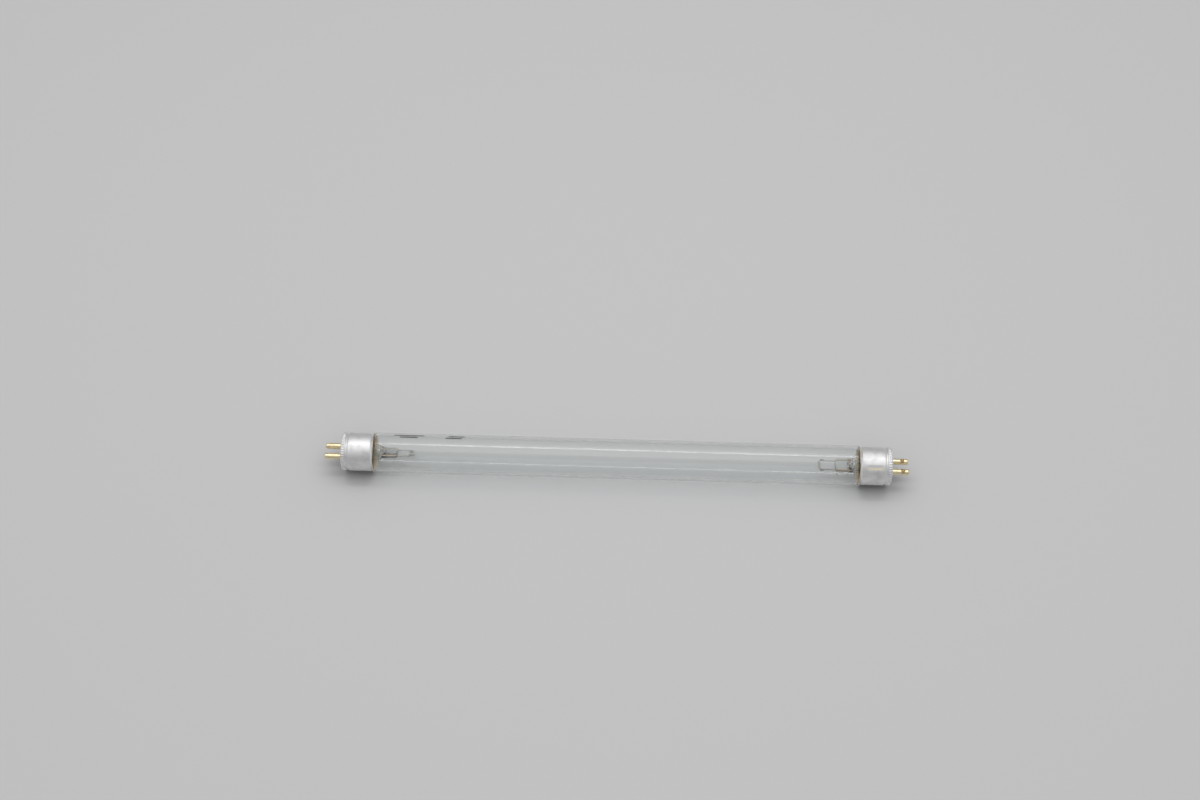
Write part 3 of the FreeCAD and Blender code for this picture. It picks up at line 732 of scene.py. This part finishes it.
for end in ENDS:
    for row, side in ROWS.items():
        bm = bmesh.new()
        turn_pin(bm)
        bmesh.ops.translate(bm, verts=bm.verts, vec=(0, side * PIN_OFFSET, 0))
        put(bm, f"pin_{end}_{row}", pin_finish, [f"contact_pin_{end}_{row}"], end)

# %% [markdown]
# The insulating disc is pressed paper laminate: brown, satin, with short fibres and specks in it. It could
# be turned again as the pins are, but its CAD shape is already right, so it stays and only gets a finish.

# %% Laminate discs
DARK_LAMINATE = (0.2, 0.1, 0.05, 1)
LIGHT_LAMINATE = (0.3, 0.165, 0.085, 1)
LAMINATE_FIBRE = (0.4, 0.25, 0.14, 1)
LAMINATE_SPECK = (0.09, 0.045, 0.025, 1)

disc_finish, start = new_finish("brown_laminate")
place = place_on(start)
fibres = cloud(place, 0.22, (1, 5, 1))
specks = rise(cloud(place, 0.3, detail=2.0), 0.63, 0.72)
mottle = cloud(place, 2.4)
disc_tone = colours(mottle, DARK_LAMINATE, LIGHT_LAMINATE)
disc_tone = colours(rise(fibres, 0.5, 0.75) * 0.45, disc_tone, LAMINATE_FIBRE)
disc_tone = colours(specks * 0.5, disc_tone, LAMINATE_SPECK)
disc_sockets = {"Base Color": disc_tone, "Roughness": 0.38 + fibres * 0.25}
show(start, surface(start, disc_sockets, fibres, 0.012))


def dress(node, finish):
    """Gives a CAD node that stays a better finish."""
    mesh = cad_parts[node].data
    mesh.materials.clear()
    mesh.materials.append(finish)
    print("dressed", node)


for end in ENDS:
    dress(f"base_disc_{end}", disc_finish)

# %% [markdown]
# Basing cement is a filled resin that is baked until it is hard, and grains of filler show in it. It is
# brown, and at the mouth, where it comes out of the cap's shade, it is painted cream as painted light. Two
# finishes would meet in a hard line, so one finish changes softly from brown to the painted cream with the
# distance from the base face.

# %% Baked cement
DARK_CEMENT = (0.6, 0.45, 0.29, 1)
LIGHT_CEMENT = (0.78, 0.64, 0.46, 1)
PAINTED_LIGHT_CREAM = (0.86, 0.81, 0.7, 1)
CEMENT_GRAIN = (0.88, 0.84, 0.76, 1)
CEMENT_MOUTH = 12.18

cement_finish, start = new_finish("baked_cement")
place = place_on(start)
blotch = cloud(place, 1.1, detail=4.0)
grains = cloud(place, 0.16, detail=2.0)
uneven_inset = inset_of(place) + blotch * (0.5 * MM)
# Painted light: the cement turns cream at the mouth, out of the cap's shade.
painted_light_mouth = rise(uneven_inset, (CEMENT_MOUTH + 0.1) * MM, (CEMENT_MOUTH + 0.5) * MM)
cement_tone = colours(blotch, DARK_CEMENT, LIGHT_CEMENT)
cement_tone = colours(painted_light_mouth, cement_tone, PAINTED_LIGHT_CREAM)
cement_tone = colours(rise(grains, 0.6, 0.75) * 0.5, cement_tone, CEMENT_GRAIN)
cement_sockets = {"Base Color": cement_tone, "Roughness": 0.65 + grains * 0.25}
show(start, surface(start, cement_sockets, grains, 0.03))
print("finish:", cement_finish.name)

# %% [markdown]
# The cement fills the space between neck and cap, and a little is squeezed out as an uneven fillet between
# the lip and the shoulder of the glass. The ring is spun, and then its toe is moved along the shoulder by a
# smooth noise, so that it creeps further out in some places than in others. It sinks a hair into the glass,
# because a thin layer of air between the two would mirror it away.

# %% Cement rings
CEMENT_STEPS = 192
CEMENT_FROM = 5.6
CLEAR_OF_CAP = 0.03
CEMENT_R = CAP_IN_R - CLEAR_OF_CAP
IN_GLASS = 0.03
TOE = 12.42
TOE_LIFT = 0.05
TOE_SWING = 0.3
TOE_WAVES = 1.7
TOE_RAGGED = 0.06
TOE_RAGGED_WAVES = 5
TOE_LEAST = 0.03
CREEP_FROM = CEMENT_MOUTH + 0.02
SEED_STEP = 3.0


def shoulder_r(along):
    """Outside of the glass shoulder at that place, between the lip and the tube."""
    return TUBE_R - BEND + math.sqrt(BEND ** 2 - (SHOULDER_TO - along) ** 2)


def on_glass(along):
    return along, shoulder_r(along) - IN_GLASS


def creep(bm, seed):
    """Moves the toe of the fillet along the glass, unevenly."""
    for vert in bm.verts:
        along, out = vert.co.x, out_from_axis(vert.co)
        if along < CREEP_FROM:
            continue
        around = Vector((seed, vert.co.y / out, vert.co.z / out)) * TOE_WAVES
        ragged = TOE_RAGGED * noise.noise(around * TOE_RAGGED_WAVES)
        swing = TOE_SWING * noise.noise(around) + ragged
        share = (along - CEMENT_MOUTH) / (TOE - CEMENT_MOUTH)
        vert.co.x = max(CEMENT_MOUTH + TOE_LEAST * share, along + swing * share)
        move_out(vert, shoulder_r(vert.co.x) + out - shoulder_r(along))


for number, end in enumerate(ENDS):
    bm = bmesh.new()
    draw_outline(bm, [
        (CEMENT_FROM, NECK_R - IN_GLASS), (CEMENT_FROM, CEMENT_R), (11.64, CEMENT_R), (12.17, 7.46),
        (12.27, 7.41), (TOE, shoulder_r(TOE) + TOE_LIFT), on_glass(TOE), on_glass(12.3),
        on_glass(CEMENT_MOUTH), (11.8, NECK_R - IN_GLASS, 0.74),
    ])
    spin_outline(bm, CEMENT_STEPS)
    creep(bm, number * SEED_STEP)
    put(bm, f"cement_ring_{end}", cement_finish, [f"basing_cement_{end}"], end)

# %% [markdown]
# The stem is a short glass tube with a flare at one end, which is melted into the lamp's neck. Its other
# end is softened and squeezed flat round the two wires, which makes a gas-tight press. The press could be
# lofted from sections. It is closer to the real work to spin a round tube with a closed end, and then to
# squeeze its end in code the way the real jaws do it.

# %% Press and port
STEM_R = 2.9
PRESS_START = 13.4
PRESS_FULL = 17.2
PRESS_HALF_WIDTH = 2.75
PRESS_HALF_THICK = 1.2
PRESS_SQUARE = 0.62
PORT_AT = 15.8
PORT_R = 0.85
PORT_DEPTH = 0.7
PORT_SKIN = 1.0


def flattened(share, half_size):
    """How far a place on the round section lies from the middle once it is squeezed."""
    return math.copysign(abs(share) ** PRESS_SQUARE, share) * half_size


def squeeze(bm):
    """Flattens the stem's end between two jaws, so that its section becomes a slot with round ends."""
    for vert in bm.verts:
        out = out_from_axis(vert.co)
        share = min(1.0, max(0.0, (vert.co.x - PRESS_START) / (PRESS_FULL - PRESS_START)))
        share = share * share * (3 - 2 * share)
        if share == 0 or out < MERGE:
            continue
        flat_y = flattened(vert.co.y / out, PRESS_HALF_WIDTH) * out / STEM_R
        flat_z = flattened(vert.co.z / out, PRESS_HALF_THICK) * out / STEM_R
        vert.co.y += (flat_y - vert.co.y) * share
        vert.co.z += (flat_z - vert.co.z) * share


def sink_port(bm):
    """The exhaust port: a small funnel in the side of the press."""
    for vert in bm.verts:
        near = math.hypot(vert.co.x - PORT_AT, vert.co.y) / PORT_R
        if near < 1 and vert.co.z > PORT_SKIN:
            vert.co.z -= PORT_DEPTH * (1 - near ** 2) ** 2


print("press from", PRESS_START, "mm, port at", PORT_AT, "mm")

# %% [markdown]
# The stem's outline runs from the closed end down its outside to the flare, over the flare's edge and back
# up its bore. Rows of corners could run all along it, but they go only where the jaws and the port change
# the shape, and the straight tube stays light.

# %% Stems
STEM_STEPS = 128
STEM_END = 21.4
STEM_END_ROUND = 0.95
STEM_BORE_R = 2.35
STEM_BORE_END = 14.6
FLARE_R = 5.48
FLARE_TO = 5.55
FLARE_ROUND = 2.57
FLARE_BORE_ROUND = 3.1
WELL_R = 0.9
WELL_END = 16.1
PRESS_ROW = 0.2
STEM_SHARP = 60

press_rows = [(along, STEM_R) for along in (20.0, 19.0, 18.0)]
press_rows += [(PRESS_FULL + PRESS_ROW - PRESS_ROW * i, STEM_R) for i in range(21)]
bore_rows = [(PRESS_START + PRESS_ROW * i, STEM_BORE_R) for i in range(5)]
stem_outline = [
    (STEM_END, 0.0), (STEM_END, STEM_R, STEM_END_ROUND), *press_rows, (FLARE_TO, STEM_R, FLARE_ROUND),
    (FLARE_TO, FLARE_R, 0.1), (NECK_FROM, FLARE_R, 0.1), (NECK_FROM, STEM_BORE_R, FLARE_BORE_ROUND),
    *bore_rows, (STEM_BORE_END, STEM_BORE_R, 0.3), (STEM_BORE_END, WELL_R, 0.2), (WELL_END, WELL_R, 0.4),
    (WELL_END, 0.0),
]
for end in ENDS:
    bm = bmesh.new()
    draw_outline(bm, stem_outline, closed=False)
    spin_outline(bm, STEM_STEPS)
    squeeze(bm)
    sink_port(bm)
    put(bm, f"stem_flare_{end}", stem_finish, [f"stem_{end}"], end, STEM_ROLL[end],
        sharp=STEM_SHARP)

# %% [markdown]
# Through the exhaust tube the air was pumped out of the lamp. It stands inside the stem, and its tip was
# melted shut when the lamp was empty, so it ends in a small round drop of glass. The drop could be a
# separate ball, but the glass is one piece, so both walls of the outline bend round to the axis.

# %% Exhaust tubes
EXHAUST_STEPS = 64
EXHAUST_TIP = 3.0
EXHAUST_END = 14.58
EXHAUST_R = 1.4
EXHAUST_WALL = 0.5
ROUND_SHORT = 0.01

bore_r = EXHAUST_R - EXHAUST_WALL
bore_tip = EXHAUST_TIP + EXHAUST_WALL
for end in ENDS:
    bm = bmesh.new()
    draw_outline(bm, [
        (EXHAUST_TIP, 0.0), (EXHAUST_TIP, EXHAUST_R, EXHAUST_R - ROUND_SHORT), (EXHAUST_END, EXHAUST_R),
        (EXHAUST_END, bore_r), (bore_tip, bore_r, bore_r - ROUND_SHORT), (bore_tip, 0.0),
    ], closed=False)
    spin_outline(bm, EXHAUST_STEPS)
    put(bm, f"exhaust_stub_{end}", stem_finish, [f"exhaust_tube_{end}"], end, STEM_ROLL[end])

# %% [markdown]
# The lamp's wires are round wire, bent with pliers. They could be curves with a round bevel. Here a ring of
# vertices is pushed along instead: straight runs are extruded and bends are spun, which gives exact round
# bends and clean rings of faces.

# %% Wire tools
AHEAD = Vector((1, 0, 0))
CORNER_STEPS = 8


def start_ring(bm, at, way, thickness, sides):
    """A ring of edges across the wire's way."""
    ring = bmesh.ops.create_circle(bm, cap_ends=False, segments=sides, radius=thickness / 2)["verts"]
    turn = Vector((0, 0, 1)).rotation_difference(way).to_matrix()
    bmesh.ops.rotate(bm, verts=ring, cent=(0, 0, 0), matrix=turn)
    bmesh.ops.translate(bm, verts=ring, vec=at)
    return list({edge for vert in ring for edge in vert.link_edges})


def edges_in(geom):
    return [item for item in geom if isinstance(item, bmesh.types.BMEdge)]


def run_on(bm, ring, by):
    """Extrudes the ring straight on, and returns its new edges."""
    made = bmesh.ops.extrude_edge_only(bm, edges=ring)["geom"]
    verts = [item for item in made if isinstance(item, bmesh.types.BMVert)]
    bmesh.ops.translate(bm, verts=verts, vec=by)
    ahead = set(verts)
    return [edge for edge in edges_in(made) if ahead.issuperset(edge.verts)]


def bend_on(bm, ring, centre, axis, angle, steps, creep_by=(0, 0, 0)):
    """Spins the ring round a centre, and returns its new edges."""
    verts = list({vert for edge in ring for vert in edge.verts})
    made = bmesh.ops.spin(bm, geom=verts + ring, cent=centre, axis=axis, angle=angle, steps=steps,
        dvec=creep_by)
    return edges_in(made["geom_last"])


def follow(bm, ring, points, bend):
    """Takes the ring along a line of points, with each corner bent to that radius."""
    here = points[0]
    for before, corner, after in zip(points, points[1:], points[2:]):
        way_in, way_out = (corner - before).normalized(), (after - corner).normalized()
        angle = way_in.angle(way_out)
        reach = bend * math.tan(angle / 2)
        ring = run_on(bm, ring, corner - way_in * reach - here)
        axis = way_in.cross(way_out).normalized()
        centre = corner - way_in * reach + axis.cross(way_in) * bend
        ring = bend_on(bm, ring, centre, axis, angle, CORNER_STEPS)
        here = corner + way_out * reach
    return run_on(bm, ring, points[-1] - here)


def close_wire(bm):
    """Fills both ends of a wire and makes its faces point outwards."""
    bmesh.ops.remove_doubles(bm, verts=bm.verts, dist=MERGE)
    bmesh.ops.holes_fill(bm, edges=bm.edges, sides=0)
    bmesh.ops.recalc_face_normals(bm, faces=bm.faces)


print("wire tools ready")

# %% [markdown]
# A lead wire is nickel with a stretch of copper-clad wire where it passes through the press, because only
# that stretch swells with heat as glass does. The stretch could be a piece of its own, but the real joint
# hardly shows, so the finish turns coppery along the press, with a soft change at each end.

# %% Lead wire finish
BRIGHT_NICKEL = (0.5, 0.485, 0.46, 1)
STAINED_NICKEL = (0.33, 0.315, 0.29, 1)
BRIGHT_COPPER = (0.6, 0.5, 0.39, 1)
STAINED_COPPER = (0.46, 0.36, 0.27, 1)
COPPER_FROM = 14.2
COPPER_TO = 21.2
COPPER_SOFT = 0.6

lead_finish, start = new_finish("nickel_lead")
place = place_on(start)
in_press = between(inset_of(place), COPPER_FROM * MM, COPPER_TO * MM, COPPER_SOFT * MM)
drawn = cloud(place, 0.05, (10, 1, 1), detail=2.0)
stained = rise(cloud(place, 0.7), 0.45, 0.75)
nickel = colours(stained, BRIGHT_NICKEL, STAINED_NICKEL)
copper = colours(stained, BRIGHT_COPPER, STAINED_COPPER)
lead_sockets = {
    "Base Color": colours(in_press, nickel, copper),
    "Metallic": 1.0,
    "Roughness": 0.24 + drawn * 0.12 + stained * 0.15,
}
show(start, surface(start, lead_sockets, drawn, 0.004))
print("finish:", lead_finish.name)

# %% [markdown]
# Each lead wire comes from its pin, slants in to the stem, runs straight through the press and is folded
# back over the electrode wire as a hook. The fold could be two more corners, but a half turn of one spin is
# rounder, as a fold round a thin wire is.

# %% Lead wires
LEAD = 0.5
LEAD_SIDES = 20
LEAD_OFFSET = 2.0
LEAD_FROM = 0.42
SLANT_FROM = 3.0
SLANT_TO = 8.0
LEAD_BEND = 4.0
FOLD = 0.38
FOLD_STEPS = 20
HOOK_AT = 26.6
HOOK_RETURN = 0.9

for end in ENDS:
    turned = Matrix.Rotation(STEM_ROLL[end], 3, "X")
    for row, side in ROWS.items():
        at_pin = Vector((0, side * PIN_OFFSET, 0))
        at_stem = turned @ Vector((0, side * LEAD_OFFSET, 0))
        over = turned @ Vector((0, 0, -side * 2 * FOLD))
        route = [
            at_pin + AHEAD * LEAD_FROM, at_pin + AHEAD * SLANT_FROM,
            at_stem + AHEAD * SLANT_TO, at_stem + AHEAD * HOOK_AT,
        ]
        bm = bmesh.new()
        ring = start_ring(bm, route[0], AHEAD, LEAD, LEAD_SIDES)
        ring = follow(bm, ring, route, LEAD_BEND)
        ring = bend_on(bm, ring, route[-1] + over / 2, AHEAD.cross(over).normalized(), math.pi, FOLD_STEPS)
        run_on(bm, ring, AHEAD * -HOOK_RETURN)
        close_wire(bm)
        put(bm, f"lead_{end}_{row}", lead_finish, [f"lead_wire_{end}_{row}"], end)

# %% [markdown]
# The electrode is tungsten wire, wound into a coil and dipped in a white oxide paste that gives off
# electrons. After some use the coating is greyish and chalky and has dark gaps where the wire is bare. A
# crust of real crumbs would be far below a pixel, so the crumbs are a noise that sets colour, metal and
# bump together.

# %% Coated tungsten
WHITE_OXIDE = (0.74, 0.73, 0.69, 1)
SOOTY_OXIDE = (0.5, 0.49, 0.45, 1)
BARE_TUNGSTEN = (0.28, 0.27, 0.26, 1)

coil_finish, start = new_finish("oxide_coated_wire")
place = place_on(start)
crumbs = cloud(place, 0.09)
soot = rise(cloud(place, 0.6), 0.4, 0.7)
coat = rise(crumbs, 0.3, 0.45)
coil_tone = colours(coat, BARE_TUNGSTEN, colours(soot, WHITE_OXIDE, SOOTY_OXIDE))
coil_sockets = {"Base Color": coil_tone, "Metallic": 0.6 - coat * 0.6, "Roughness": 0.4 + coat * 0.45}
show(start, surface(start, coil_sockets, crumbs, 0.03))
print("finish:", coil_finish.name)

# %% [markdown]
# A coil could be a curve through many computed points. A spin with a small step along its own axis makes it
# in one operation. The wire starts in one hook, bends up into the coil, and after seven and a half turns
# comes down into the other hook.

# %% Electrode coils
COIL_WIRE = 0.22
COIL_SIDES = 14
COIL_HALF = 1.35
COIL_AT = 27.5
COIL_TURNS = 7.5
COIL_STEPS_PER_TURN = 28
LEG_REACH = 2.35
LEG_BEND = 0.3
SIDEWAYS = Vector((0, 1, 0))

coil_steps = int(COIL_TURNS * COIL_STEPS_PER_TURN)
coil_creep = SIDEWAYS * (2 * COIL_HALF / coil_steps)
coil_start = Vector((COIL_AT, -COIL_HALF, 0))
leg_in = [
    Vector((HOOK_AT, -LEG_REACH, FOLD)), Vector((HOOK_AT, -COIL_HALF, FOLD)),
    Vector((COIL_AT, -COIL_HALF, FOLD)),
]
leg_out = [
    Vector((COIL_AT, COIL_HALF, -FOLD)), Vector((HOOK_AT, COIL_HALF, -FOLD)),
    Vector((HOOK_AT, LEG_REACH, -FOLD)),
]
for end in ENDS:
    bm = bmesh.new()
    ring = start_ring(bm, leg_in[0], SIDEWAYS, COIL_WIRE, COIL_SIDES)
    ring = follow(bm, ring, leg_in, LEG_BEND)
    ring = bend_on(bm, ring, coil_start, SIDEWAYS, COIL_TURNS * FULL_TURN, coil_steps, coil_creep)
    follow(bm, ring, leg_out, LEG_BEND)
    close_wire(bm)
    put(bm, f"coil_{end}", coil_finish, [f"electrode_coil_{end}"], end, STEM_ROLL[end])

# %% [markdown]
# A few beads of mercury lie on the floor of the tube; the lamp needs their vapour. They are mirror bright,
# with a thin grey skin in places. They could be modelled again as flattened drops, but the CAD beads have
# that shape already, so they stay.

# %% Mercury
BRIGHT_MERCURY = (0.87, 0.87, 0.88, 1)
SKINNED_MERCURY = (0.66, 0.66, 0.67, 1)

mercury_finish, start = new_finish("liquid_mercury")
skin = rise(cloud(place_on(start), 0.3), 0.5, 0.7)
mercury_sockets = {
    "Base Color": colours(skin, BRIGHT_MERCURY, SKINNED_MERCURY),
    "Metallic": 1.0,
    "Roughness": 0.04 + skin * 0.22,
}
show(start, surface(start, mercury_sockets))
dress("mercury_droplets", mercury_finish)

# %% [markdown]
# Four plain bars of dark ink are printed on the glass near the left end, and they are worn. They could be a
# mask in the glass finish, but ink lies on the glass and blocks what is behind it. So each is an edge spun
# a few degrees round the tube, a little behind its top, with a hair of thickness.

# %% Ink bars
FRESH_INK = (0.05, 0.05, 0.053, 1)
THIN_INK = (0.12, 0.12, 0.125, 1)
INK_LIFT = 0.005
INK_R = TUBE_R + INK_LIFT
INK_THICK = 0.01
INK_HALF = math.radians(2.8)
INK_STEPS = 8
INK_BARS = {
    "ink_bar_long": (20.3, 31.8, 28),
    "ink_bar_long_lower": (22.6, 29.4, 19),
    "ink_bar_short": (41.4, 47.6, 28),
    "ink_bar_short_lower": (40.2, 46.4, 19),
}

ink_finish, start = new_finish("worn_ink")
place = place_on(start)
pinholes = rise(cloud(place, 0.12, detail=2.0), 0.2, 0.36)
thin = cloud(place, 2.6, detail=2.0)
ink_sockets = {
    "Base Color": colours(thin, FRESH_INK, THIN_INK),
    "Roughness": 0.5 + thin * 0.2,
    "Alpha": pinholes * (0.9 - thin * 0.5),
}
show(start, surface(start, ink_sockets))

for name, (first, last, back) in INK_BARS.items():
    bm = bmesh.new()
    bm.edges.new([bm.verts.new((along, 0, INK_R)) for along in (first, last)])
    turn = Matrix.Rotation(INK_HALF - math.radians(back), 3, "X")
    bmesh.ops.rotate(bm, verts=bm.verts, cent=(0, 0, 0), matrix=turn)
    bmesh.ops.spin(bm, geom=bm.verts[:] + bm.edges[:], cent=(0, 0, 0), axis=(1, 0, 0),
        angle=-2 * INK_HALF, steps=INK_STEPS)
    bmesh.ops.solidify(bm, geom=bm.faces[:], thickness=INK_THICK)
    bmesh.ops.recalc_face_normals(bm, faces=bm.faces)
    put(bm, name, ink_finish)
